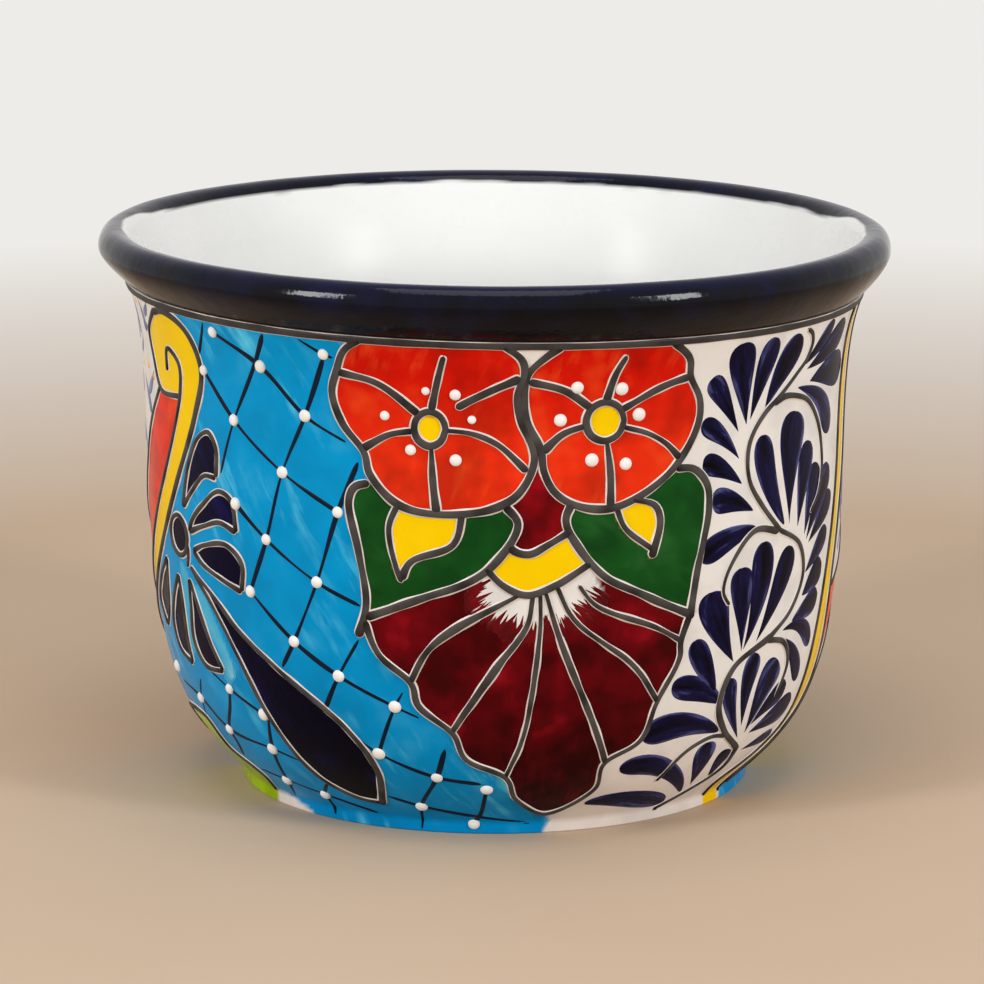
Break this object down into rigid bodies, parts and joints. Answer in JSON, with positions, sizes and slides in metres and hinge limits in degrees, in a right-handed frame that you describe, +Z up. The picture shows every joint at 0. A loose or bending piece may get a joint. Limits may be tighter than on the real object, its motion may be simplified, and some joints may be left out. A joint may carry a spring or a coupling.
{
  "type": "talavera planter",
  "caption": "Bellied glazed earthenware plant pot with a rolled dark blue rim, a drain hole and a floral pattern outlined in raised slip lines.",
  "frame": {"origin": "on the ground at the pot's axis, in the plane that the foot ring stands on", "axes": "+Z up along the pot's axis; -Y towards the panel with the two flowers, as the picture shows it; +X to the viewer's right"},
  "size_m": [0.26, 0.26, 0.184],
  "materials": {
    "bare_clay": "matte, unglazed terracotta",
    "white_glaze": "gloss white glaze",
    "painted_glaze": "gloss glaze, white ground painted in turquoise, orange red, crimson, green, yellow and navy",
    "cobalt_glaze": "gloss cobalt glaze, nearly black",
    "slip_line": "satin dark grey trailed slip with a thin white edge"
  },
  "bodies": {
    "root": {"foot_ring": "bare_clay", "floor_slab": "white_glaze", "pot_wall": "painted_glaze", "rim_roll": "cobalt_glaze", "collar_line": "slip_line", "front_flower_pair_outline": "slip_line", "back_flower_pair_outline": "slip_line", "front_left_leaf_outline": "slip_line", "back_left_leaf_outline": "slip_line", "front_right_leaf_outline": "slip_line", "back_right_leaf_outline": "slip_line", "front_left_heart_outline": "slip_line", "back_left_heart_outline": "slip_line", "front_right_heart_outline": "slip_line", "back_right_heart_outline": "slip_line", "front_crescent_line": "slip_line", "back_crescent_line": "slip_line", "front_shell_outline": "slip_line", "back_shell_outline": "slip_line", "front_horn_outline": "slip_line", "back_horn_outline": "slip_line", "front_horn_edge_line": "slip_line", "back_horn_edge_line": "slip_line", "front_daisy_outline": "slip_line", "back_daisy_outline": "slip_line", "front_drop_outline": "slip_line", "back_drop_outline": "slip_line", "front_base_leaf_outline": "slip_line", "back_base_leaf_outline": "slip_line", "front_spray_stem": "slip_line", "back_spray_stem": "slip_line"}
  },
  "joints": []
}
